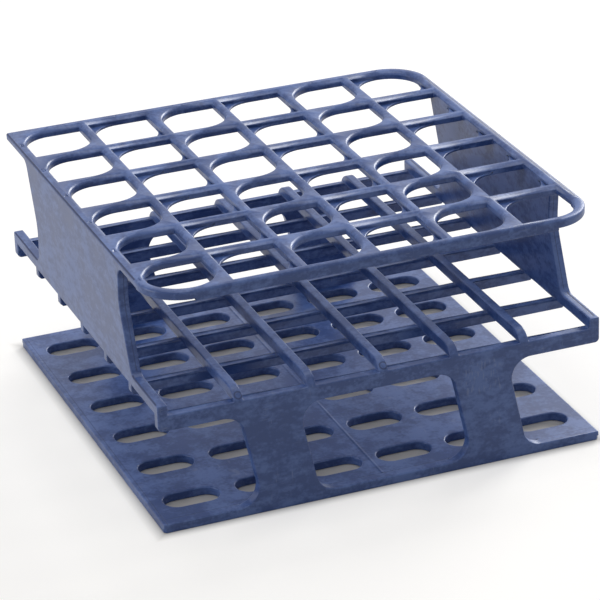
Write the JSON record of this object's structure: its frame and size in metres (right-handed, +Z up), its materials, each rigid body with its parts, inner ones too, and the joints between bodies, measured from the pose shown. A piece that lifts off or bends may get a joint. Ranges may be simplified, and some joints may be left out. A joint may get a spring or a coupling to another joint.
{
  "type": "test tube rack",
  "caption": "Square one-piece moulded rack for test tubes: open top grid with rounded gussets, a crossed middle tier, two side walls, leaning legs and a slotted base.",
  "frame": {"origin": "centre of the footprint, on the surface the rack stands on", "axes": "+Z up; X from left to right along the front, where the two legs lean to the right on the way down; +Y from front to back"},
  "size_m": [0.1242, 0.1242, 0.0666],
  "materials": {
    "rack_plastic": "satin moulded polypropylene, cloudy slate blue"
  },
  "bodies": {
    "root": {"tube_rack": "rack_plastic"}
  },
  "joints": []
}
